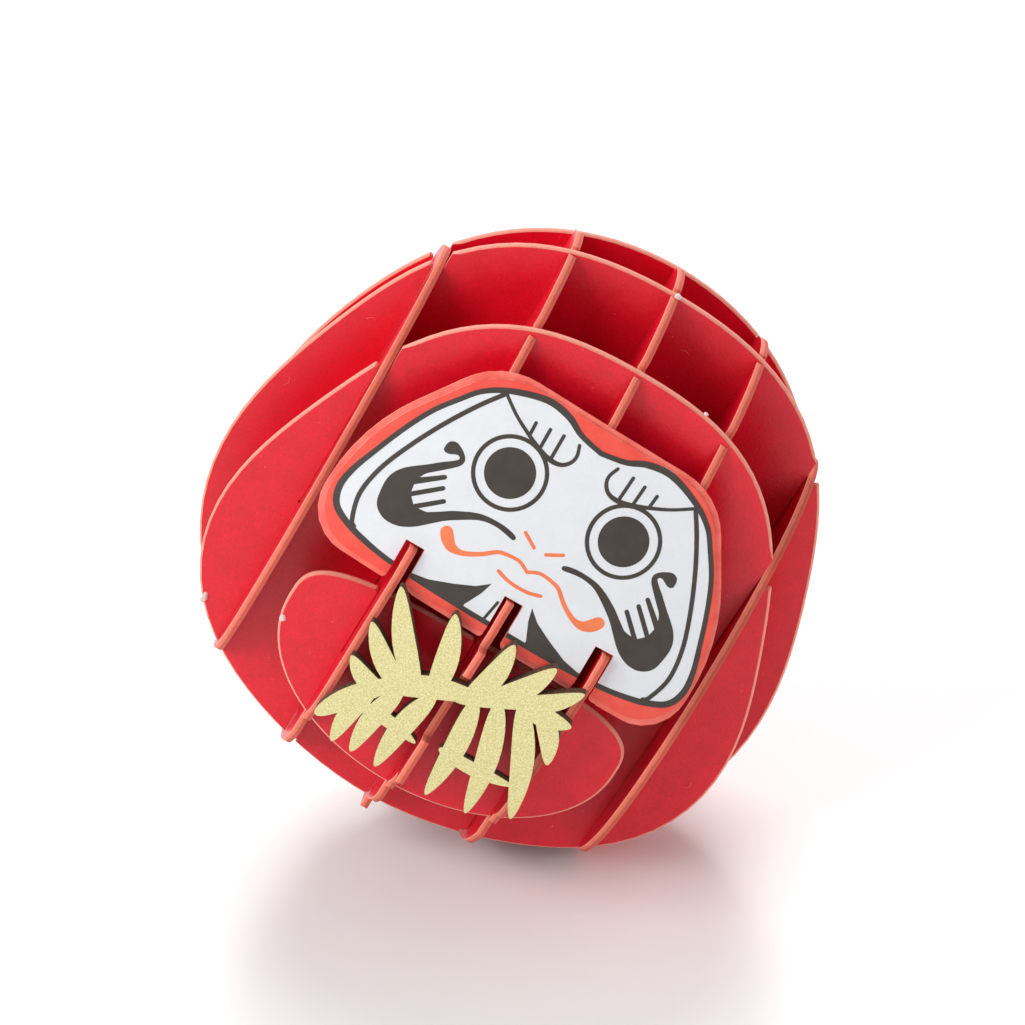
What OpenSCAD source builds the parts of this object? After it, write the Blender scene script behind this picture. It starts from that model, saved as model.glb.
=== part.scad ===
// Daruma doll built from flat slotted boards: five upright ribs that run front to back
// cross five upright panels that run left to right. A printed face card and a gilded
// openwork ornament sit on the front edges of the ribs.
// Frame: +X to the viewer's right, -Y to the front, +Z up, origin under the middle.

/* [Boards] */
// Thickness of the red board
board = 1.0; // [0.8:0.1:1.2]
// Total play between a slot and the board in it
slot_play = 0.2; // [0.1:0.02:0.26]
// Gap left between the two slot ends of a half-lap
lap_gap = 0.1; // [0.06:0.02:0.2]
// Radius that rounds the corners at a slot's mouth
mouth_r = 0.6; // [0.2:0.1:0.6]
// Distance between neighbouring ribs
rib_gap = 12.85; // [12.5:0.05:13.2]
// Distance between neighbouring body panels
panel_gap = 11.3; // [10.5:0.1:12]
// Distance from the front panel to the belly panel
belly_gap = 8.6; // [8:0.2:9]

/* [Body panels] */
// Mean radius of the front panel
front_size = 33.7; // [33.4:0.05:34]
// Mean radius of the middle panel
middle_size = 38; // [37.7:0.05:38.3]
// Mean radius of the rear panel
rear_size = 36.45; // [36.2:0.05:36.7]
// Mean radius of the back panel, behind the rear one
back_size = 28; // [27.8:0.05:28.4]

/* [Belly panel] */
// Half of the width of the small belly panel
belly_half_w = 22.2; // [21.4:0.2:22.6]
// Height at which it is widest
belly_mid = 25.7; // [25:0.1:26]
// Its height above that level
belly_up = 7.2; // [7:0.1:7.4]
// Its depth below that level
belly_down = 15.5; // [15:0.1:16]

/* [Ribs] */
// Height at which every rib is deepest
rib_mid = 29.7; // [29:0.1:30]
// Half of the depth of the centre rib
centre_rib_reach = 29.4; // [29:0.1:29.8]
// Its height above the deepest level
centre_rib_up = 46; // [45:0.1:46.5]
// Its depth below that level, before the foot is cut flat
centre_rib_down = 29.9; // [29.8:0.1:30.4]
// Half of the depth of the inner ribs
inner_rib_reach = 27.9; // [27.6:0.1:28.4]
// Their height above the deepest level
inner_rib_up = 44.1; // [43.6:0.1:44.6]
// Their depth below that level
inner_rib_down = 29.3; // [29:0.1:29.6]
// Half of the depth of the outer ribs
outer_rib_reach = 21.7; // [21.4:0.1:22]
// Their height above their deepest level
outer_rib_up = 35.5; // [35:0.1:36]
// Their depth below that level
outer_rib_down = 21.9; // [21.6:0.1:22.2]
// Depth of the straight front edge that carries the ornament
nose_reach = 31; // [30.5:0.1:31.5]

/* [Face card] */
// Backward tilt of the card, in degrees
card_tilt = 17; // [15:0.5:18]
// Height of the card's lower edge
card_foot = 34.8; // [34.5:0.1:35.2]
// Depth of the card's front face at that edge
card_reach = 31.3; // [31:0.1:31.3]
// Radius that the card is bent to
card_bend = 110; // [100:5:130]
// Thickness of the printed card
card_t = 0.35; // [0.3:0.05:0.4]
// Thickness of the board behind it
backing_t = 0.65; // [0.6:0.05:0.7]
// Width by which the board behind shows round the printed card
backing_rim = 0.6; // [0.4:0.1:0.8]

/* [Ornament] */
// Thickness of the ornament's board
ornament_t = 1.2; // [1:0.1:1.3]
// Thickness of the gold foil on it
foil_t = 0.1; // [0.08:0.02:0.12]
// Height of the ornament's centre
ornament_mid = 26.4; // [26:0.1:27]

/* [Hidden] */

red = [0.84, 0.12, 0.14];
side_steps = 96;    // points round a body outline
arc_steps = 6;      // points on a rounded corner
touch = 0.03;       // air left between two faces that touch
far = 60;           // longer than any part of the doll
slot_w = board + slot_play;
tip_r = 0.6;        // radius of the wings' upper tips
relief_r = 0.22;    // radius of the round cuts in the ends of the outer ribs' slots

// A body panel's outline is drawn round a point above its middle. Its radius at an angle
// from the top is its mean radius plus waves that repeat once, twice and so on round it
shape_mid = 42;
front_waves = [-7.2, 0.55, 1.25, -1.15, -0.3, 0.2, -0.1];
middle_waves = [-5.45, 1.05, 0.95, -0.95, -0.3];
rear_waves = [-5.6, 1.35, 0.8, -0.55, -0.05];
back_waves = [-7.8, 0.9, 1.2];

// Roundness exponents above and below the deepest level: 2 is an ellipse, more is squarer
centre_round = [2, 2.6];
inner_round = [1.95, 2.35];
outer_round = [1.9, 2.6];
outer_mid = 28.8;
belly_round = [3.5, 2.0];

// An oval is [half depth, deepest height, up, down, roundness, depth of its middle]. The
// ribs' middles lie a little in front of the middle of the four body panels
centre_spec = [centre_rib_reach, rib_mid, centre_rib_up, centre_rib_down, centre_round, -1.6];
inner_spec = [inner_rib_reach, rib_mid, inner_rib_up, inner_rib_down, inner_round, -2.4];
outer_spec = [outer_rib_reach, outer_mid, outer_rib_up, outer_rib_down, outer_round, -2.8];
belly_spec = [belly_half_w, belly_mid, belly_up, belly_down, belly_round, 0];

// A body panel is [depth from the middle, mean radius, waves]
front_spec = [-1.5 * panel_gap, front_size, front_waves];
middle_spec = [-0.5 * panel_gap, middle_size, middle_waves];
rear_spec = [0.5 * panel_gap, rear_size, rear_waves];
back_spec = [1.5 * panel_gap, back_size, back_waves];
body_panels = [front_spec, middle_spec, rear_spec, back_spec];
belly_depth = -1.5 * panel_gap - belly_gap;

// The centre rib's foot starts just inside the front panel and ends behind the rear one
foot_front = -1.5 * panel_gap + board / 2 + 0.1;
foot_back = 11.5;
foot_top = 10;

// Heights of the two tabs of the centre rib that pass through the ornament
tab_hold = [31.2, 35.0];
tab_low = [14.6, 21.2];
tab_long = 8;
tab_proud = 0.2;

// Ends of the ribs' tabs in front of the card, and where they bend, measured along the card
card_tab_end = 6.5;
card_tab_bend = 2.5;
card_tab_front = 0.25;

// Straight front edge of an inner rib: height over its foot, and radii of the curve below it
nose_foot = 8;
nose_deep = 5;
nose_high = 7;

// The whole doll is moved back by this much, so that the origin is under its middle
front_reach = nose_reach + touch + ornament_t + foil_t + tab_proud;
depth_shift = (front_reach - centre_rib_reach - centre_spec[5]) / 2;

function arch(t, n) = pow(max(0, 1 - pow(abs(t), n)), 1 / n);
function signed_power(c, n) = sign(c) * pow(abs(c), 2 / n);

// Outline of an oval that is cut flat at floor level, and its edges at a distance from
// its middle
function oval(o) = [
    for (i = [0 : side_steps - 1])
        let (a = 360 * i / side_steps, s = sin(a), n = s > 0 ? o[4][0] : o[4][1], h = s > 0 ? o[2] : o[3])
            [o[5] + o[0] * signed_power(cos(a), n), max(0, o[1] + h * signed_power(s, n))]
];
function oval_top(o, x) = o[1] + o[2] * arch((x - o[5]) / o[0], o[4][0]);
function oval_bottom(o, x) = max(0, o[1] - o[3] * arch((x - o[5]) / o[0], o[4][1]));
function oval_lap(o, x) = (oval_top(o, x) + oval_bottom(o, x)) / 2;

// Outline of a body panel, cut flat at floor level, and its edges at a distance from its
// middle, found by halving the range of angles
function reach(p, a) = p[1] + [for (i = [1 : len(p[2])]) cos(i * a)] * p[2];
function outline_point(p, a) = [reach(p, a) * sin(a), max(0, shape_mid + reach(p, a) * cos(a))];
function angle_at(p, x, in, out) =
    let (mid = (in + out) / 2)
        abs(out - in) < 0.001 ? mid
        : reach(p, mid) * sin(mid) < x ? angle_at(p, x, mid, out)
        : angle_at(p, x, in, mid);
function panel_top(p, x) = outline_point(p, angle_at(p, abs(x), 0, 90))[1];
function panel_bottom(p, x) = outline_point(p, angle_at(p, abs(x), 180, 110))[1];
function lap_height(p, x) = (panel_top(p, x) + panel_bottom(p, x)) / 2;

// Corner points rounded to the given radii, as arcs
function unit(v) = v / norm(v);
function corner(a, b, c, r) =
    let (
        u = unit(a - b),
        w = unit(c - b),
        half = acos(u * w) / 2,
        centre = b + unit(u + w) * r / sin(half),
        start = b + u * r / tan(half),
        end = b + w * r / tan(half)
    ) [
        for (i = [0 : arc_steps])
            let (d = unit(start * (arc_steps - i) + end * i - centre * arc_steps))
                centre + r * d
    ];
function rounded(points, radii) = [
    for (i = [0 : len(points) - 1])
        let (n = len(points))
            each corner(points[(i + n - 1) % n], points[i], points[(i + 1) % n], radii[i])
];
function mirrored(points) = concat(points, [for (i = [len(points) - 1 : -1 : 0]) [-points[i][0], points[i][1]]]);

// Point of the card's side view, from its height along the card and its distance in front
function card_point(along, front) = [
    -card_reach + along * sin(card_tilt) - front * cos(card_tilt),
    card_foot + along * cos(card_tilt) + front * sin(card_tilt)
];

// A slot that is open upwards (way = 1) or downwards (way = -1), with rounded mouth corners
module slot(at, mouth, end, way) {
    translate([at - slot_w / 2, way > 0 ? end : end - far])
        square([slot_w, far]);
    difference() {
        translate([at - slot_w / 2 - mouth_r, way > 0 ? mouth - mouth_r : mouth - far + mouth_r])
            square([slot_w + 2 * mouth_r, far]);
        for (side = [-1, 1])
            translate([at + side * (slot_w / 2 + mouth_r), mouth - way * mouth_r])
                circle(r = mouth_r, $fn = 24);
    }
}

// A board that stands across the doll, from its front view
module across(depth) {
    color(red)
        translate([0, depth + board / 2 + depth_shift, 0])
            rotate([90, 0, 0])
                linear_extrude(board)
                    children();
}

// A board that stands along the doll, from its side view
module along(x) {
    color(red)
        translate([x - board / 2, depth_shift, 0])
            rotate([90, 0, 90])
                linear_extrude(board)
                    children();
}

module panel_outline(p) {
    polygon([for (i = [0 : side_steps - 1]) outline_point(p, -360 * i / side_steps)]);
}

// Body panel: slots for the inner ribs open downwards, slots for the outer ribs upwards
module body_panel(p) {
    across(p[0]) difference() {
        panel_outline(p);
        for (x = [-rib_gap, 0, rib_gap])
            slot(x, panel_bottom(p, x), lap_height(p, x) + lap_gap / 2, -1);
        for (side = [-1, 1])
            outer_slot(p, side);
    }
}

// Slot for an outer rib: its inner corners are cut round, and the wing beside it ends in a
// rounded tip
module outer_slot(p, side) {
    x = 2 * rib_gap;
    wing = x + slot_w / 2;
    tip = panel_top(p, wing + tip_r);
    end = lap_height(p, x) - lap_gap / 2;
    translate([side * x - slot_w / 2, end])
        square([slot_w, far]);
    for (edge = [-1, 1])
        translate([side * x + edge * slot_w / 2, end])
            circle(r = relief_r, $fn = 16);
    difference() {
        translate([side > 0 ? wing : -wing - tip_r, tip - tip_r])
            square([tip_r, far]);
        translate([side * (wing + tip_r), tip - tip_r])
            circle(r = tip_r, $fn = 32);
    }
}

// Outer rib: slots for the body panels open downwards
module outer_rib(side) {
    x = 2 * rib_gap;
    along(side * x) difference() {
        polygon(oval(outer_spec));
        for (p = body_panels)
            slot(p[0], oval_bottom(outer_spec, p[0]), lap_height(p, x) + lap_gap / 2, -1);
    }
}

// Front of an inner rib: it stands straight under the ornament and ends in a tab that
// passes through the card
module rib_nose(foot) {
    back = -nose_reach + 2 * nose_deep + 6;
    tab_root = card_point(card_tab_end, -3);
    tab_end = card_point(card_tab_end, card_tab_front);
    tab_bend = card_point(card_tab_bend, card_tab_front);
    polygon(concat(
        [[back, foot + 1], [back, card_foot + 6], tab_root],
        corner(tab_root, tab_end, tab_bend, mouth_r),
        [[-nose_reach, tab_bend[1]], [-nose_reach, foot + nose_foot]],
        [
            for (a = [10 : 10 : 80])
                [-nose_reach + nose_deep * (1 - cos(a)), foot + nose_foot - nose_high * sin(a)]
        ],
        [[-nose_reach + nose_deep, foot + nose_foot - nose_high]]
    ));
}

// Space that the card takes from a rib: all in front of its back, above the tab
module card_space(x) {
    bend = card_bend - sqrt(pow(card_bend, 2) - pow(abs(x) + board / 2, 2));
    back = -card_t - backing_t - bend - touch;
    polygon([
        card_point(card_tab_end, back),
        card_point(far, back),
        card_point(far, far),
        card_point(card_tab_end, far)
    ]);
}

// Centre or inner rib: slots for the body panels open upwards, the slot for the belly
// panel downwards
module inner_rib_outline(r, x) {
    belly_foot = oval_bottom(belly_spec, x);
    difference() {
        union() {
            polygon(oval(r));
            rib_nose(belly_foot);
            if (x == 0)
                centre_rib_extras();
        }
        card_space(x);
        for (p = body_panels)
            slot(p[0], oval_top(r, p[0]), lap_height(p, x) - lap_gap / 2, 1);
        slot(belly_depth, belly_foot, oval_lap(belly_spec, x) + lap_gap / 2, -1);
    }
}

// The centre rib alone has a square foot and two tabs that hold the ornament
module centre_rib_extras() {
    translate([foot_front, 0])
        square([foot_back - foot_front, foot_top]);
    for (tab = [tab_hold, tab_low])
        translate([-front_reach, tab[0]])
            square([tab_long, tab[1] - tab[0]]);
}

module inner_rib(r, x) {
    along(x) inner_rib_outline(r, x);
}

// Front view of the card: rounded, wider below, glued on slightly askew, with three slots
// that open downwards
card_top = [14.8, 29.8];
card_side = [24.7, 14.6];
card_low = [24.7, 1.1];
card_radii = [9, 24, 5.4, 5.4, 24, 9];
card_turn = -1.9;
card_slots = [-12.8, 0.3, 12.5];
card_slot_w = 2.4;
card_slot_top = 6.8;

module card_outline(rim) {
    corners = [card_top - [rim, rim], card_side - [rim, 0], card_low - [rim, -rim]];
    difference() {
        translate([-0.3, card_side[1]])
            rotate(card_turn)
                translate([0, -card_side[1]])
                    polygon(rounded(mirrored(corners), card_radii));
        for (x = card_slots)
            card_slot(x, card_low[1] + rim + x * tan(card_turn));
    }
}

// The slots' mouth corners are rounded
module card_slot(x, foot) {
    difference() {
        translate([x - card_slot_w, foot - 1])
            square([2 * card_slot_w, card_slot_top - foot + 1]);
        for (side = [-1, 1])
            translate([x + side * (card_slot_w / 2 + mouth_r), foot + mouth_r]) {
                circle(r = mouth_r, $fn = 24);
                translate([side > 0 ? -mouth_r : mouth_r - card_slot_w, 0])
                    square([card_slot_w, far]);
                translate([side > 0 ? 0 : -card_slot_w, -mouth_r])
                    square([card_slot_w, far]);
            }
    }
}

// A sheet bent round an upright axis and tilted back with the card
module bent_sheet(back, thick) {
    translate([0, depth_shift, 0])
        translate([0, -card_reach, card_foot])
            rotate([-card_tilt, 0, 0])
                intersection() {
                    translate([0, far / 2, 0])
                        rotate([90, 0, 0])
                            linear_extrude(far)
                                children();
                    translate([0, card_bend, 0])
                        difference() {
                            translate([0, 0, -5])
                                cylinder(r = card_bend - back, h = 40, $fn = 360);
                            translate([0, 0, -6])
                                cylinder(r = card_bend - back - thick, h = 42, $fn = 360);
                        }
                }
}

// Leaf of the ornament, from its stalk end: a brush stroke with a blunt and a narrow end
module leaf(from, angle, length, width, bend) {
    steps = 16;
    function mid(t) = [length * t, bend * sin(180 * t)];
    function half(t) = width / 2 * pow(sin(180 * pow(t, 0.8)), 0.55);
    translate(from) rotate(angle) polygon(concat(
        [for (i = [0 : steps]) let (t = (1 - cos(180 * i / steps)) / 2) mid(t) + [0, half(t)]],
        [for (i = [steps - 1 : -1 : 1]) let (t = (1 - cos(180 * i / steps)) / 2) mid(t) - [0, half(t)]]
    ));
}

// A leafy branch, each leaf as [x, z from the middle, angle, length, width, bend]
leaves = [
    [-12.8, -9.2, 54, 12.4, 2.6, 0.5],    // branch, in four lengths
    [-8.4, -2.0, 24, 13.4, 3.0, 0.8],
    [0.0, 1.6, 26, 10.6, 2.8, 0.6],
    [6.6, 5.9, -2, 7.0, 2.8, -0.6],
    [-7.0, -2.4, 158, 6.2, 2.4, 0.6],     // upper leaves, left to right
    [-5.0, -1.2, 141, 10.0, 2.6, 0.6],
    [-3.8, -0.4, 126, 14.0, 2.8, 0.6],
    [-2.2, 0.2, 104, 11.4, 2.8, -0.5],
    [1.4, 1.8, 82, 9.8, 2.8, -0.6],
    [3.0, 2.8, 58, 10.2, 2.9, -0.7],
    [6.2, 4.8, 40, 8.6, 2.4, -0.6],
    [-8.4, -2.6, -97, 8.8, 2.4, -0.5],    // lower leaves, left to right
    [-5.6, -0.8, -97, 10.6, 2.6, -0.5],
    [-2.0, 0.8, -97, 12.4, 2.7, -0.5],
    [2.4, 3.0, -86, 14.6, 2.7, 0.5],
    [4.8, 4.2, -76, 15.8, 2.8, 0.6],
    [7.2, 5.4, -66, 15.6, 2.8, 0.7],
    [9.2, 6.0, -54, 7.6, 2.5, 0.6],
    [-9.6, -5.2, -6, 8.8, 1.8, 0.4],      // two cross twigs
    [1.8, -5.2, 2, 9.8, 1.8, -0.4]
];

module ornament_outline() {
    difference() {
        for (l = leaves)
            leaf([l[0], l[1]], l[2], l[3], l[4], l[5]);
        translate([-slot_w / 2, tab_hold[0] - ornament_mid - slot_play])
            square([slot_w, tab_hold[1] - tab_hold[0] + 2 * slot_play]);
        translate([-slot_w / 2, -far])
            square([slot_w, far + tab_low[1] - ornament_mid + slot_play]);
    }
}

module ornament_sheet(back, thick) {
    translate([0, depth_shift - nose_reach - touch - back, ornament_mid])
        rotate([90, 0, 0])
            linear_extrude(thick)
                ornament_outline();
}

module rib_left_outer() { outer_rib(-1); }
module rib_left_inner() { inner_rib(inner_spec, -rib_gap); }
module rib_centre() { inner_rib(centre_spec, 0); }
module rib_right_inner() { inner_rib(inner_spec, rib_gap); }
module rib_right_outer() { outer_rib(1); }

module panel_belly() {
    across(belly_depth) difference() {
        polygon(oval(belly_spec));
        for (x = [-rib_gap, 0, rib_gap])
            slot(x, oval_top(belly_spec, x), oval_lap(belly_spec, x) - lap_gap / 2, 1);
    }
}

module panel_front() { body_panel(front_spec); }
module panel_middle() { body_panel(middle_spec); }
module panel_rear() { body_panel(rear_spec); }
module panel_back() { body_panel(back_spec); }

module face_backing() {
    color([0.8, 0.16, 0.15])
        bent_sheet(card_t, backing_t)
            card_outline(0);
}

module face_card() {
    color([0.93, 0.93, 0.94])
        bent_sheet(0, card_t - touch)
            card_outline(backing_rim);
}

module ornament_board() {
    color([0.2, 0.14, 0.08])
        ornament_sheet(0, ornament_t);
}

module ornament_foil() {
    color([0.88, 0.85, 0.55])
        ornament_sheet(ornament_t + touch, foil_t - touch);
}

rib_left_outer();
rib_left_inner();
rib_centre();
rib_right_inner();
rib_right_outer();
panel_belly();
panel_front();
panel_middle();
panel_rear();
panel_back();
face_backing();
face_card();
ornament_board();
ornament_foil();
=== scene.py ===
"""Daruma doll of slotted boards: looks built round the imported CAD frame. Metres, +Z up, -Y front."""

import math

import bmesh
import bpy
from mathutils import Matrix, Vector
from mathutils.geometry import convex_hull_2d, intersect_point_line, tessellate_polygon


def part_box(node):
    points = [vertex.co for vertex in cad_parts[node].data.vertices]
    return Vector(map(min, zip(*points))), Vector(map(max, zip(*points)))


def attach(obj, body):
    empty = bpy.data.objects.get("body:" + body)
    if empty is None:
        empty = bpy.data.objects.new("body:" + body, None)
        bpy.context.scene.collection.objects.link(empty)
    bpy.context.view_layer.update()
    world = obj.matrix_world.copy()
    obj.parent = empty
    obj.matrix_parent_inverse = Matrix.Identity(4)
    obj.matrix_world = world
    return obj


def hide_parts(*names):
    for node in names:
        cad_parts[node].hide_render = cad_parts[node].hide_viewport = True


MM = 0.001
WELD = 0.001 * MM
ACROSS = Vector((1, 0, 0))
DEEP = Vector((0, 1, 0))

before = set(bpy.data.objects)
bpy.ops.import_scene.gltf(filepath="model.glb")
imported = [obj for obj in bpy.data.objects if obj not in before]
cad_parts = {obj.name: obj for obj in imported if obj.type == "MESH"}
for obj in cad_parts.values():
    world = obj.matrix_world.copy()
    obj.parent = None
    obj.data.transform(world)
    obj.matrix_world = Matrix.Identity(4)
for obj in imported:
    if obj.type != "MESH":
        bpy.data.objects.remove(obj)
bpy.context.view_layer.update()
scene = bpy.context.scene

# Depths below are counted from halfway between the middle and rear panels, as the ribs' are
HALFWAY = (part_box("panel_middle")[0].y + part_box("panel_rear")[1].y) / 2 / MM

# ---------------------------------------------------------------- camera
# Where the camera is and what it looks at, in mm
EYE = Vector((-43.85, HALFWAY - 365.53, 203.75)) * MM
AIM = Vector((-0.2, HALFWAY - 5.65, 34.7)) * MM
ROLL = math.radians(32.37)

forward = (AIM - EYE).normalized()
level_right = forward.cross(Vector((0, 0, 1))).normalized()
level_up = level_right.cross(forward)
right = math.cos(ROLL) * level_right + math.sin(ROLL) * level_up
up = math.cos(ROLL) * level_up - math.sin(ROLL) * level_right

camera = bpy.data.objects.new("camera", bpy.data.cameras.new("camera"))
scene.collection.objects.link(camera)
camera.matrix_world = Matrix.Translation(EYE) @ Matrix((right, up, -forward)).transposed().to_4x4()
camera.data.sensor_width = 36
camera.data.lens = 114.2
camera.data.shift_x = 0.0047
camera.data.shift_y = 0.0435
camera.data.clip_start = 0.01
camera.data.clip_end = 50
scene.camera = camera


# ---------------------------------------------------------------- materials
def shader_of(m):
    return m.node_tree.nodes["Principled BSDF"]


def material(name, colour, rough, **sockets):
    """Material with constant sockets, named with _ for a space."""
    m = bpy.data.materials.new(name)
    m.use_nodes = True
    shader = shader_of(m)
    shader.inputs["Base Color"].default_value = (*colour, 1)
    shader.inputs["Roughness"].default_value = rough
    for key, value in sockets.items():
        shader.inputs[key.replace("_", " ")].default_value = value
    return m


def node(m, kind, **values):
    """New node; each value is one of its properties or, with _ for a space, one of its inputs."""
    made = m.node_tree.nodes.new(kind)
    for key, value in values.items():
        if hasattr(made, key):
            setattr(made, key, value)
        else:
            made.inputs[key.replace("_", " ")].default_value = value
    return made


def link(m, out, into):
    m.node_tree.links.new(out, into)


def noise(m, scale, detail, roughness=0.6):
    """Noise in the object's own space, in features per metre."""
    where = node(m, "ShaderNodeTexCoord")
    made = node(m, "ShaderNodeTexNoise", Scale=scale, Detail=detail, Roughness=roughness)
    link(m, where.outputs["Object"], made.inputs["Vector"])
    return made.outputs["Fac"]


def ramp(m, value, stops):
    """Colour ramp over a value, with (position, colour) stops."""
    made = node(m, "ShaderNodeValToRGB")
    link(m, value, made.inputs["Fac"])
    elements = made.color_ramp.elements
    while len(elements) < len(stops):
        elements.new(0.5)
    for e, (position, colour) in zip(elements, stops):
        e.position = position
        e.color = (*colour, 1)
    return made.outputs["Color"]


def bump(m, *layers):
    """Bump layers, each (height, strength, distance in metres)."""
    below = None
    for height, strength, distance in layers:
        made = node(m, "ShaderNodeBump", Strength=strength, Distance=distance)
        link(m, height, made.inputs["Height"])
        if below:
            link(m, below, made.inputs["Normal"])
        below = made.outputs["Normal"]
    link(m, below, shader_of(m).inputs["Normal"])


def base(m, colour):
    link(m, colour, shader_of(m).inputs["Base Color"])


def mix(m, factor, first, second):
    """Blend of a colour socket with a plain colour, by a factor socket."""
    made = node(m, "ShaderNodeMix", data_type="RGBA")
    link(m, factor, made.inputs["Factor"])
    link(m, first, made.inputs[6])
    made.inputs[7].default_value = (*second, 1)
    return made.outputs[2]


def multiply(m, first, second):
    """Product of two colour sockets."""
    made = node(m, "ShaderNodeMix", data_type="RGBA", blend_type="MULTIPLY")
    made.inputs["Factor"].default_value = 1
    link(m, first, made.inputs[6])
    link(m, second, made.inputs[7])
    return made.outputs[2]


def paper(name, dark, light, rough=0.75, grain=3200, pore_shade=0.97, lint=None, **sockets):
    """Uncoated paper: soft mottle, a fine felt grain with painted shade in its hollows, and a little pale
    lint.
    """
    m = material(name, light, rough, **sockets)
    mottle = noise(m, 420, 5)
    colour = ramp(m, mottle, [(0.36, dark), (0.62, light)])
    felt = noise(m, grain, 3)
    # Painted shade: the felt's low spots, which the bump below sinks, are darkened
    shade = ramp(m, felt, [(0.3, (pore_shade, pore_shade, pore_shade)), (0.7, (1, 1, 1))])
    colour = multiply(m, colour, shade)
    if lint:
        specks = ramp(m, noise(m, 1500, 2, roughness=0.4), [(0.77, (0, 0, 0)), (0.80, (1, 1, 1))])
        colour = mix(m, specks, colour, lint)
    base(m, colour)
    bump(m, (felt, 0.7, 0.00003), (mottle, 0.15, 0.00006))
    return m


FIBRE_SPREAD = 0.7


def cut_edge(name, stops):
    """A board's cut edge: its tone changes across the thickness, broken up by the fibres. On the ribs this
    change is painted light and shade.
    """
    m = material(name, stops[0][1], 0.8)
    # -1 to 1 from one broad side to the other, as stored on the mesh
    across = node(m, "ShaderNodeAttribute", attribute_name="across")
    fibres = noise(m, 1700, 5, roughness=0.7)
    broken = node(m, "ShaderNodeMath", operation="MULTIPLY_ADD")
    broken.inputs[1].default_value = FIBRE_SPREAD
    link(m, fibres, broken.inputs[0])
    link(m, across.outputs["Fac"], broken.inputs[2])
    place = node(m, "ShaderNodeMapRange", From_Min=FIBRE_SPREAD / 2 - 1, From_Max=FIBRE_SPREAD / 2 + 1)
    link(m, broken.outputs["Value"], place.inputs["Value"])
    base(m, ramp(m, place.outputs["Result"], stops))
    bump(m, (fibres, 0.6, 0.00008), (noise(m, 6000, 2), 0.4, 0.00003))
    return m


SALMON = (0.9, 0.36, 0.28)
ORANGE_RED = (0.8, 0.17, 0.105)
BRICK = (0.7, 0.17, 0.12)
BROWN_RED = (0.5, 0.08, 0.055)
red_paper = paper("red_paper", (0.7, 0.001, 0.015), (0.77, 0.0015, 0.02), rough=0.36, pore_shade=0.82,
                  lint=(0.85, 0.06, 0.07), Specular_IOR_Level=0.5)
# The ribs' cut edges carry painted light and shade: salmon on the -x side, as if lit from the left, darkening
# to brown towards the +x side as painted shade
rib_cut_painted_light = cut_edge("rib_edge_painted_light", [
    (0.0, SALMON), (0.2, ORANGE_RED), (0.45, ORANGE_RED), (0.62, BROWN_RED), (1.0, (0.6, 0.11, 0.07)),
])
panel_cut = cut_edge("panel_cut_edge", [(0.0, (0.7, 0.2, 0.14)), (0.35, SALMON), (0.8, BRICK), (1.0, SALMON)])
coral_paper = paper("coral_paper", (0.78, 0.12, 0.09), (0.86, 0.18, 0.14))
coral_cut = paper("coral_cut_edge", (0.8, 0.16, 0.11), (0.9, 0.3, 0.23), grain=5000)
coral_ink = paper("coral_ink", (0.76, 0.06, 0.036), (0.82, 0.085, 0.055), rough=0.6)
card_cut = paper("card_cut_edge", (0.86, 0.16, 0.12), (0.95, 0.7, 0.64), grain=5000)
white_ink = paper("white_ink", (0.7, 0.71, 0.735), (0.725, 0.735, 0.76), rough=0.6)
black_ink = paper("black_ink", (0.026, 0.018, 0.013), (0.036, 0.026, 0.019), rough=0.55)
orange_ink = paper("orange_ink", (0.78, 0.17, 0.06), (0.84, 0.2, 0.075), rough=0.6)

gold = material("gold_foil", (0.75, 0.68, 0.3), 0.42, Metallic=0.25)
gold_grain = noise(gold, 5200, 2, roughness=0.8)
base(gold, ramp(gold, gold_grain, [(0.35, (0.56, 0.49, 0.18)), (0.62, (0.78, 0.72, 0.39))]))
bump(gold, (gold_grain, 0.4, 0.00003))

burnt = material("burnt_edge", (0.03, 0.016, 0.008), 0.7)
burnt_grain = noise(burnt, 2600, 4)
base(burnt, ramp(burnt, burnt_grain, [(0.35, (0.035, 0.017, 0.009)), (0.7, (0.16, 0.08, 0.042))]))
bump(burnt, (burnt_grain, 0.5, 0.00006))

glue = material("dried_glue", (0.9, 0.8, 0.76), 0.25, Transmission_Weight=0.35)
base(glue, ramp(glue, noise(glue, 2500, 3), [(0.3, (0.9, 0.62, 0.58)), (0.7, (0.95, 0.92, 0.9))]))
lint = material("paper_fibre", (0.8, 0.15, 0.14), 0.8)
base(lint, ramp(lint, noise(lint, 1500, 2), [(0.3, (0.75, 0.08, 0.08)), (0.7, (0.85, 0.3, 0.28))]))


# ---------------------------------------------------------------- meshes
def linked(name, bm, *materials):
    """The finished mesh as an object in the scene."""
    mesh = bpy.data.meshes.new(name)
    bm.to_mesh(mesh)
    bm.free()
    for m in materials:
        mesh.materials.append(m)
    made = bpy.data.objects.new(name, mesh)
    scene.collection.objects.link(made)
    return made


def placed(name, bm, *materials):
    """The finished mesh as a piece that rides on the doll's one body."""
    piece = linked(name, bm, *materials)
    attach(piece, "root")
    return piece


def node_mesh(name):
    """Copy of a CAD node's mesh, with the corners of neighbouring faces joined."""
    bm = bmesh.new()
    bm.from_mesh(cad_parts[name].data)
    bmesh.ops.remove_doubles(bm, verts=bm.verts, dist=WELD)
    return bm


def round_off(bm, degrees):
    """Smooth shading over edges that turn by less than this."""
    for e in bm.edges:
        if len(e.link_faces) == 2:
            e.smooth = e.calc_face_angle() < math.radians(degrees)


def split(bm, point, normal):
    bmesh.ops.bisect_plane(bm, geom=bm.verts[:] + bm.edges[:] + bm.faces[:], plane_co=point, plane_no=normal)


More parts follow.
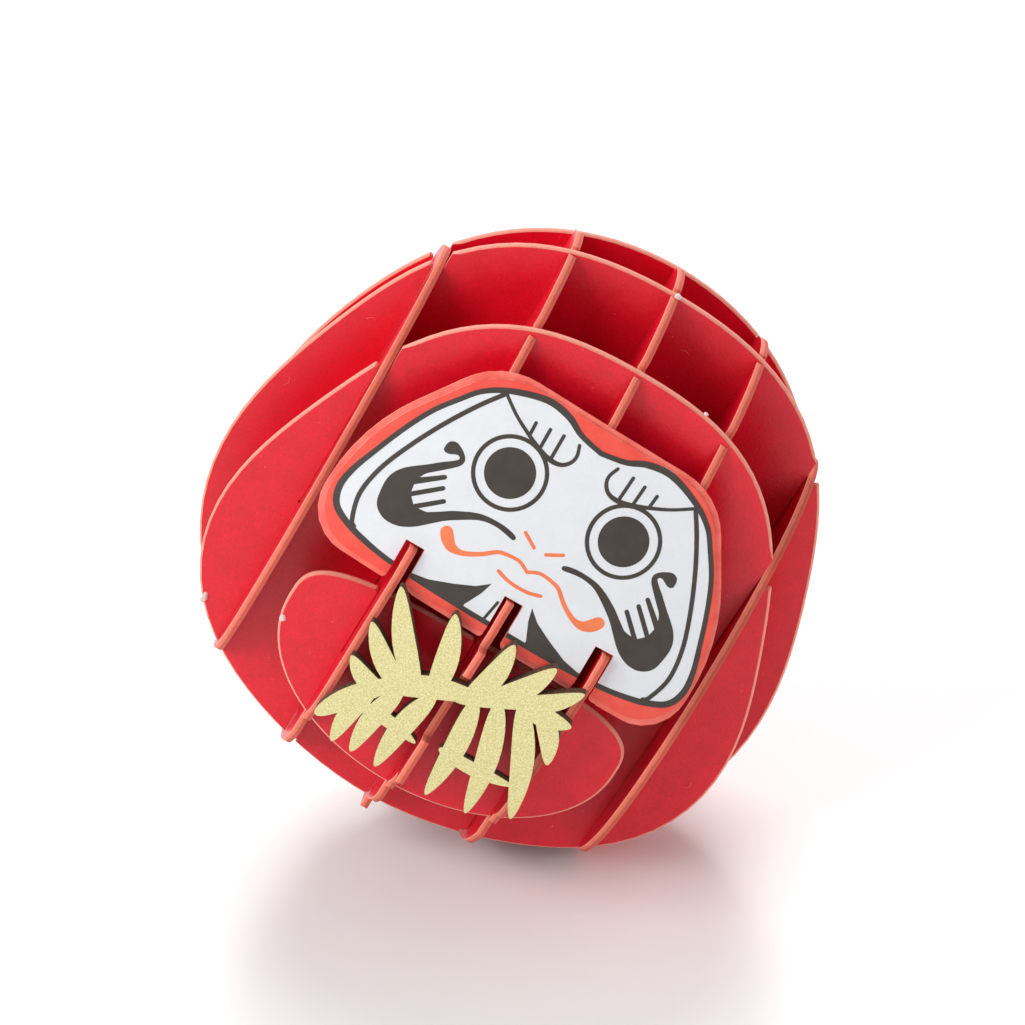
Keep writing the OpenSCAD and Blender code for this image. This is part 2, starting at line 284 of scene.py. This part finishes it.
# ---------------------------------------------------------------- boards
RIBS = ["rib_left_outer", "rib_left_inner", "rib_centre", "rib_right_inner", "rib_right_outer"]
PANELS = ["panel_belly", "panel_front", "panel_middle", "panel_rear", "panel_back"]
EDGE_ANGLE = 50  # in degrees: a sharper turn is an edge of the board
CRUMB = 0.08 * MM  # corners closer together than this are joined
ROLL_WIDTH = 0.3 * MM
RIM_REACH = 1 * MM  # an outline vertex lies no further than this from the panel's hull
WALL_LENGTH = 3 * MM  # an upright wall longer than this is a slot's
ON_FACE = 0.01 * MM


def off_outline(point, ring):
    """How far a point lies from a closed line."""
    gaps = []
    for a, b in zip(ring, ring[1:] + ring[:1]):
        near, share = intersect_point_line(point, a, b)
        gaps.append((point - (a if share < 0 else b if share > 1 else near.xy)).length)
    return min(gaps)


def roll_over(bm, low, high):
    """Roll the outline of a panel over, as a die leaves it; the walls of its slots stay square."""
    for depth in (low.y + ROLL_WIDTH, high.y - ROLL_WIDTH):
        split(bm, (0, depth, 0), DEEP)
    bm.normal_update()
    flat = [v.co.xz for v in bm.verts]
    ring = [flat[i] for i in convex_hull_2d(flat)]
    moves = []
    for v in bm.verts:
        on_face = min(v.co.y - low.y, high.y - v.co.y) < ON_FACE
        rims = [f for f in v.link_faces if abs(f.normal.y) < 0.5]
        beside_slot = any(
            abs(f.normal.x) > 0.999 and max(e.calc_length() for e in f.edges) > WALL_LENGTH for f in rims
        )
        if on_face and rims and not beside_slot and off_outline(v.co.xz, ring) < RIM_REACH:
            moves.append((v, sum((f.normal for f in rims), Vector()).normalized() * ROLL_WIDTH))
    for v, move in moves:
        v.co -= move


def dressed(name, axis, face, cut, bevel=None):
    """A CAD board: face on its two broad sides, cut on its rim. Its edges are bevelled, or rolled over
    where no bevel is given."""
    bm = node_mesh(name)
    bmesh.ops.dissolve_limit(bm, angle_limit=math.radians(0.6), verts=bm.verts, edges=bm.edges)
    bmesh.ops.remove_doubles(bm, verts=bm.verts, dist=min(bevel or CRUMB, CRUMB))
    low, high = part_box(name)
    if bevel:
        limit = math.radians(EDGE_ANGLE)
        sharp = [e for e in bm.edges if len(e.link_faces) == 2 and e.calc_face_angle() > limit]
        bmesh.ops.bevel(
            bm, geom=sharp, offset=bevel, offset_type="OFFSET", segments=2, profile=0.6, affect="EDGES",
            clamp_overlap=True,
        )
    else:
        roll_over(bm, low, high)
    bm.normal_update()
    for f in bm.faces:
        broad = abs(f.normal.dot(axis)) > 0.97
        f.material_index = 0 if broad else 1
        f.smooth = not broad
    round_off(bm, EDGE_ANGLE)
    across = bm.verts.layers.float.new("across")
    for v in bm.verts:
        v[across] = (2 * v.co - low - high).dot(axis) / (high - low).dot(axis)
    # Blender's own triangles would spill over the outline of a large flat face with slots
    for f in [f for f in bm.faces if len(f.verts) > 4]:
        corners = f.verts[:]
        for trio in tessellate_polygon([[v.co for v in corners]]):
            bm.faces.new([corners[k] for k in trio], f)
        bm.faces.remove(f)
    bmesh.ops.recalc_face_normals(bm, faces=bm.faces[:])
    piece = placed(name + "_cut", bm, face, cut)
    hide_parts(name)
    return piece


for name in RIBS:
    dressed(name, ACROSS, red_paper, rib_cut_painted_light, 0.12 * MM)
for name in PANELS:
    dressed(name, DEEP, red_paper, panel_cut)
dressed("ornament_board", DEEP, burnt, burnt, 0.05 * MM)
dressed("ornament_foil", DEEP, gold, gold, 0.02 * MM)

# The card leans back; this is the way its front looks
TILT = math.radians(17)
CARD_OUT = Vector((0, -math.cos(TILT), math.sin(TILT)))


def bent_sheet(name, face, cut):
    """A bent CAD sheet: its cut edges, which face away from the card's front, get another material."""
    bm = node_mesh(name)
    bm.normal_update()
    for f in bm.faces:
        f.material_index = 0 if abs(f.normal.dot(CARD_OUT)) > 0.9 else 1
        f.smooth = True
    round_off(bm, 35)
    piece = placed(name + "_cut", bm, face, cut)
    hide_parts(name)
    return piece


bent_sheet("face_backing", coral_paper, coral_cut)
bent_sheet("face_card", coral_ink, card_cut)

# ---------------------------------------------------------------- printed face
# The foot of the card's front face, and the radius of its bend, in mm
CARD_FRONT = HALFWAY - 31.3
CARD_FOOT = 34.8
CARD_BEND = 110

# The card's three slots, which the ribs' tabs pass through: centres, half width and top, in mm
SLOTS = [-12.8, 0.3, 12.5]
SLOT_HALF = 1.22
SLOT_TOP = 6.82

# The print is cut into strips this wide, so that it bends with the card
STRIP = 1.45
STRIPS_EACH_SIDE = 17
# Overlapping printed shapes differ by this much in height, so that no two faces coincide
HAIR = 0.002

# The print sits slightly askew on the card
PRINT_TURN = Matrix.Rotation(math.radians(-1.65), 2)
PRINT_PIVOT = Vector((0, 14.6))


def on_card(u, v, height):
    """Point over the bent card: u across, v up along it, height in front of it, in mm."""
    r = CARD_BEND + height
    back = CARD_BEND - math.sqrt(r * r - u * u)
    return Vector((
        u,
        CARD_FRONT + back * math.cos(TILT) + v * math.sin(TILT),
        CARD_FOOT - back * math.sin(TILT) + v * math.cos(TILT),
    )) * MM


def curve(points, closed=False, steps=6):
    """Smooth line through points."""
    n = len(points)
    pts = [Vector(p) for p in points]
    out = []
    for i in range(n if closed else n - 1):
        p0 = pts[(i - 1) % n] if closed or i else pts[0]
        p1, p2 = pts[i], pts[(i + 1) % n]
        p3 = pts[(i + 2) % n] if closed or i + 2 < n else pts[-1]
        for k in range(steps):
            t = k / steps
            square = (2 * p0 - 5 * p1 + 4 * p2 - p3) * t * t
            cube = (3 * p1 - p0 - 3 * p2 + p3) * t**3
            out.append(0.5 * (2 * p1 + (p2 - p0) * t + square + cube))
    if not closed:
        out.append(pts[-1])
    return out


def arc(middle, first, second, turns):
    """Points round a middle, from first towards second, at these angles."""
    return [middle + math.cos(a) * first + math.sin(a) * second for a in turns]


def stroke(points, widths, steps=6):
    """Outline of a pen stroke with round ends; each point has its own width, or all share one."""
    if not isinstance(widths, (list, tuple)):
        widths = [widths] * len(points)
    line = curve([(p[0], p[1], w) for p, w in zip(points, widths)], steps=steps)
    left, back = [], []
    for i, p in enumerate(line):
        d = (line[min(i + 1, len(line) - 1)] - line[max(i - 1, 0)]).xy.normalized()
        side = Vector((-d.y, d.x)) * p.z / 2
        left.append(p.xy + side)
        back.append(p.xy - side)
    ends = []
    for p, q in ((line[-1], line[-2]), (line[0], line[1])):
        d = (p - q).xy.normalized() * p.z / 2
        ends.append(arc(p.xy, Vector((-d.y, d.x)), d, [math.pi * k / 8 for k in range(1, 8)]))
    return left + ends[0] + back[::-1] + ends[1]


def disc(centre, radius):
    turns = [math.pi * k / 24 for k in range(48)]
    return arc(Vector(centre), Vector((radius, 0)), Vector((0, radius)), turns)


def both(outline):
    """An outline and its mirror image on the other half of the face."""
    return [outline, [Vector((-p[0], p[1])) for p in outline][::-1]]


def ink(name, outlines, low, high, mat):
    """Thin printed layer on the bent card from one height over it to another, in mm, open at the
    card's slots."""
    bm = bmesh.new()
    for i, outline in enumerate(outlines):
        turned = [PRINT_TURN @ (Vector((p[0], p[1])) - PRINT_PIVOT) + PRINT_PIVOT for p in outline]
        verts = [bm.verts.new((p.x, p.y, i % 6 * HAIR)) for p in turned]
        for corners in tessellate_polygon([[v.co for v in verts]]):
            bm.faces.new([verts[k] for k in corners])
    bm.normal_update()
    for f in bm.faces:
        if f.normal.z < 0:
            f.normal_flip()
    cuts = [STRIP * k for k in range(-STRIPS_EACH_SIDE, STRIPS_EACH_SIDE + 1)]
    for u in cuts + [slot + side * SLOT_HALF for slot in SLOTS for side in (-1, 1)]:
        split(bm, (u, 0, 0), ACROSS)
    split(bm, (0, SLOT_TOP, 0), DEEP)
    gone = [f for f in bm.faces if f.calc_center_median().y < SLOT_TOP
            and min(abs(f.calc_center_median().x - slot) for slot in SLOTS) < SLOT_HALF]
    bmesh.ops.delete(bm, geom=gone, context="FACES")
    raised = bmesh.ops.extrude_face_region(bm, geom=bm.faces[:], use_keep_orig=True)
    top = {v for v in raised["geom"] if isinstance(v, bmesh.types.BMVert)}
    for v in bm.verts:
        v.co = on_card(v.co.x, v.co.y, high + v.co.z if v in top else low)
    bmesh.ops.recalc_face_normals(bm, faces=bm.faces[:])
    placed(name, bm, mat)


# Outlines and strokes are in mm on the flat card: across from its middle, and up from its foot.
# Half of the face's outline, from the dip in the middle of the brow to the chin
RIM = [
    (0, 26.7), (3.0, 27.3), (5.4, 28.4), (8.5, 28.7), (12.5, 27.4), (15.2, 25.7), (17, 23.5), (19, 20.6),
    (20.7, 17), (22.2, 13), (23.2, 10), (23.5, 7.5), (22.7, 5.5), (20.7, 4.4), (18, 3.7), (14, 3.2), (7, 3.0),
    (0, 3.0),
]
RIM_PEN = [0.6, 0.65, 0.8, 0.8, 0.7, 0.62, 0.6, 0.6, 0.6, 0.62, 0.7, 0.8, 0.8, 0.75, 0.7, 0.62, 0.6, 0.6]
whole_rim = curve(RIM + [(-u, v) for u, v in RIM[-2:0:-1]], closed=True)
ink("print_white", [[p.xy for p in whole_rim]], -0.005, 0.02, white_ink)

BROW = [
    (12.7, 26.8), (10.6, 25.4), (8.4, 24.3), (6.2, 23.4), (4.5, 23.0), (3.2, 23.2), (2.4, 24.0), (2.2, 25.0),
    (2.6, 26.2),
]
SIDE = [(12.8, 26.9), (14.8, 24), (17, 20.2), (19.1, 15.8), (20.6, 11.7), (21.1, 8), (20.3, 5.0), (19.7, 4.4)]


FINGER_HALF = 0.27


def finger(end, root):
    """The round end of one of the cheek's fingers, from its upper to its lower side."""
    out = (Vector(end) - Vector(root)).normalized() * FINGER_HALF
    return arc(Vector(end), Vector((out.y, -out.x)), out, [math.pi * k / 8 for k in range(9)])


# Cheek: from the bulb along the hook's outside, round three fingers, out along the tail's upper
# side and back round the belly to the hook's inside
HOOK = [
    (15.6, 17.6), (15.6, 18.3), (15.3, 18.85), (14.6, 19.05), (13.75, 18.7), (13.1, 18.2), (12.8, 17.6),
    (13.1, 16.8), (14.5, 15.4), (15.8, 14.15), (16.2, 13.35),
]
TAIL = [
    (14.5, 10.2), (13.5, 10.35), (13.0, 10.65), (12.0, 11.35), (11.1, 12.0), (10.05, 12.6), (9.05, 13.1),
    (8.0, 13.5), (6.8, 13.7), (5.4, 13.75), (4.3, 13.65), (3.4, 13.4), (3.15, 13.1), (3.4, 12.82),
]
BELLY = [
    (4.4, 12.98), (5.4, 13.12), (6.4, 13.1), (7.5, 12.88), (8.6, 12.35), (10.5, 11.1), (11.5, 10.3),
    (12.7, 9.15), (13.6, 8.3), (14.5, 7.65), (15.6, 7.15), (16.8, 7.0), (17.7, 7.2), (18.5, 7.7),
    (19.0, 8.45), (19.25, 9.6), (19.35, 11), (19.1, 12.1), (18.5, 13.1), (17.7, 13.9), (16.3, 15.05),
    (15.05, 16.15), (14.0, 17.0), (13.5, 17.5), (13.6, 17.8), (14.0, 17.85), (14.8, 17.45), (15.3, 17.4),
]
CHEEK = [p.xy for p in curve(HOOK, steps=4)]
CHEEK += finger((13.8, 14.9), (16.45, 12.6)) + [Vector((16.35, 12.3)), Vector((16.2, 11.45))]
CHEEK += finger((13.3, 13.7), (16.1, 11.15)) + [Vector((15.9, 10.95)), Vector((15.25, 10.3))]
CHEEK += finger((12.45, 12.45), (15.0, 10.05))
CHEEK += [p.xy for p in curve(TAIL + BELLY, steps=4)]

# Where the chin is dark, beside the centre slot
CHIN = [
    (2.75, 7.2), (4.2, 6.0), (6.5, 4.9), (9.2, 3.8), (11.7, 3.3), (11.7, 2.9), (4.2, 2.9), (4.2, 3.5),
    (3.2, 5.6),
]
EYE_PLACE = (7.7, 19.3)
PUPIL = 3.0
EYE_RING = 4.25
FINE = 0.42

black = both(stroke(RIM, RIM_PEN))
black += both(stroke(SIDE, 0.55))
black += both(stroke(BROW, [0.4, 0.4, 0.45, 0.55, 0.6, 0.5, 0.45, FINE, 0.4]))
for a, b in (((8.2, 25.8), (8.1, 24.3)), ((6.4, 26.0), (6.3, 23.6)), ((4.7, 26.2), (4.6, 23.2))):
    black += both(stroke([a, b], FINE))
for side in (-1, 1):
    middle = (side * EYE_PLACE[0], EYE_PLACE[1])
    black.append(disc(middle, PUPIL))
    ring = disc(middle, EYE_RING)
    half = len(ring) // 2
    black.append(stroke(ring[: half + 1], 0.5, steps=1))
    black.append(stroke(ring[half:] + ring[:1], 0.5, steps=1))
black += both(CHEEK)
black += both([Vector(p) for p in CHIN])
black.append(stroke([(-1.4, 3.1), (-1.0, 5.7)], 0.35))
black.append(stroke([(1.8, 3.1), (0.9, 5.4)], 0.35))
ink("print_black", black, 0.0, 0.035, black_ink)

MOUTH = [
    (10.3, 9.6), (9.75, 8.95), (8.9, 8.4), (7.8, 8.4), (6.7, 8.85), (5.5, 9.6), (4.15, 10.7), (3.2, 11.0),
    (2.0, 11.15), (1.1, 11.05), (0, 10.5),
]
MOUTH_PEN = [1.5, 1.5, 1.15, 0.7, 0.57, 0.52, 0.5, 0.45, FINE, FINE, FINE]

orange = both(stroke([(2.55, 14.35), (0.8, 13.35)], FINE))
orange += both(stroke(MOUTH, MOUTH_PEN))
orange += both(stroke([(2.85, 8.9), (1.4, 8.5), (0, 8.4)], FINE))
ink("print_orange", orange, 0.0, 0.035, orange_ink)

# ---------------------------------------------------------------- glue and lint
# Depth of each panel's front face, in mm
FRONT = {name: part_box(name)[0].y / MM for name in PANELS}


def drop(name, place, size):
    """A dried drop of glue: a squashed ball with an uneven outline. Place and half sizes in mm."""
    bm = bmesh.new()
    bmesh.ops.create_icosphere(bm, subdivisions=4, radius=1)
    for v in bm.verts:
        swell = 1 + 0.07 * math.sin(3 * v.co.x + 4 * v.co.z) + 0.04 * math.sin(6 * v.co.z - 5 * v.co.y)
        v.co = (Vector(place) + Vector([c * swell * half for c, half in zip(v.co, size)])) * MM
    for f in bm.faces:
        f.smooth = True
    placed(name, bm, glue)


FIBRE_RADIUS = 0.022
FIBRE_ARCH = 0.1


def fibre(name, panel, points):
    """A loose paper fibre that arches off the front of a panel, through (x, z) points in mm."""
    line = bpy.data.curves.new(name, "CURVE")
    line.dimensions = "3D"
    line.bevel_depth = FIBRE_RADIUS * MM
    line.bevel_resolution = 2
    line.use_fill_caps = True
    spline = line.splines.new("POLY")
    route = curve([(x, z, 0) for x, z in points], steps=5)
    spline.points.add(len(route) - 1)
    for i, p in enumerate(route):
        off = FIBRE_RADIUS + FIBRE_ARCH * math.sin(math.pi * i / (len(route) - 1))
        spline.points[i].co = (*(Vector((p.x, FRONT[panel] - off, p.y)) * MM), 1)
    line.materials.append(lint)
    piece = bpy.data.objects.new(name, line)
    scene.collection.objects.link(piece)
    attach(piece, "root")


drop("glue_dot_top", (0.3, FRONT["panel_middle"], 75.25), (0.45, 0.35, 0.4))
drop("glue_wing_left", (-30.3, FRONT["panel_front"] + 0.1, 15.6), (0.42, 0.3, 0.8))
drop("glue_belly_left", (-21.4, FRONT["panel_belly"] + 0.1, 22.9), (0.42, 0.25, 0.5))
drop("glue_chip_rear_left", (-13.0, FRONT["panel_rear"] - 0.1, 71.95), (0.65, 0.4, 0.28))
drop("glue_chip_rear_right", (12.9, FRONT["panel_rear"] - 0.1, 71.9), (0.6, 0.4, 0.25))
drop("glue_chip_front", (9.0, FRONT["panel_front"] + 0.2, 68.55), (0.3, 0.3, 0.18))
fibre("fibre_a", "panel_middle", [(-34.6, 40.2), (-34.2, 41.0), (-34.5, 41.6)])
fibre("fibre_b", "panel_middle", [(-30.0, 53.2), (-29.4, 53.8), (-28.9, 53.6)])
fibre("fibre_c", "panel_middle", [(4.0, 69.6), (4.5, 69.9), (5.0, 69.7)])
fibre("fibre_d", "panel_front", [(31.8, 24.8), (32.3, 25.3), (32.2, 25.9)])
fibre("fibre_e", "panel_front", [(-25.6, 40.2), (-25.2, 40.6), (-24.6, 40.5)])

# ---------------------------------------------------------------- stage and light
# The floor is square to the picture, and the camera looks down on it at this angle
FLOOR_VIEW = math.radians(25)
FLOOR_GAP = 0.2 * MM
floor_up = (math.cos(FLOOR_VIEW) * up - math.sin(FLOOR_VIEW) * forward).normalized()
lowest = min((n.matrix_world @ v.co).dot(floor_up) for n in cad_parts.values() for v in n.data.vertices)

# It is clear from below, so that it doesn't cut in front of the doll in views from other sides
floor_mat = material("floor", (0.93, 0.94, 0.94), 0.3, Specular_IOR_Level=0.35)
clear = node(floor_mat, "ShaderNodeBsdfTransparent")
side = node(floor_mat, "ShaderNodeNewGeometry")
one_sided = node(floor_mat, "ShaderNodeMixShader")
link(floor_mat, side.outputs["Backfacing"], one_sided.inputs["Fac"])
link(floor_mat, shader_of(floor_mat).outputs["BSDF"], one_sided.inputs[1])
link(floor_mat, clear.outputs["BSDF"], one_sided.inputs[2])
surface = floor_mat.node_tree.nodes["Material Output"].inputs["Surface"]
link(floor_mat, one_sided.outputs["Shader"], surface)

bm = bmesh.new()
bmesh.ops.create_grid(bm, x_segments=1, y_segments=1, size=4)
floor = linked("floor", bm, floor_mat)
floor.rotation_mode = "QUATERNION"
floor.rotation_quaternion = floor_up.to_track_quat("Z", "Y")
floor.location = floor_up * (lowest - FLOOR_GAP)

# White backdrop, seen and mirrored at full strength, which lights the doll only weakly
world = bpy.data.worlds.new("studio")
scene.world = world
world.use_nodes = True
backdrop = world.node_tree.nodes["Background"]
backdrop.inputs["Color"].default_value = (1, 1, 1, 1)
ray = node(world, "ShaderNodeLightPath")
seen = node(world, "ShaderNodeMath", operation="MAXIMUM")
strength = node(world, "ShaderNodeMapRange", To_Min=0.4, To_Max=1.0)
link(world, ray.outputs["Is Camera Ray"], seen.inputs[0])
link(world, ray.outputs["Is Glossy Ray"], seen.inputs[1])
link(world, seen.outputs["Value"], strength.inputs["Value"])
link(world, strength.outputs["Result"], backdrop.inputs["Strength"])


def lamp(name, across, above, behind, size, watts):
    """Soft round light, placed in metres from the doll by the camera's own directions."""
    data = bpy.data.lights.new(name, "AREA")
    data.shape = "DISK"
    data.size = size
    data.energy = watts
    made = bpy.data.objects.new(name, data)
    scene.collection.objects.link(made)
    offset = across * right + above * up + behind * forward
    made.location = AIM + offset
    made.rotation_mode = "QUATERNION"
    made.rotation_quaternion = offset.to_track_quat("Z", "Y")
    made.visible_camera = False


lamp("top", 0.0, 1.1, 0.35, 0.8, 9.5)
lamp("left", -0.9, 0.35, -0.75, 1.0, 12.4)
lamp("fill", 1.0, -0.15, -1.0, 1.0, 3.8)
lamp("back", 0.9, 0.5, 0.8, 1.2, 7)

scene.view_settings.view_transform = "Standard"
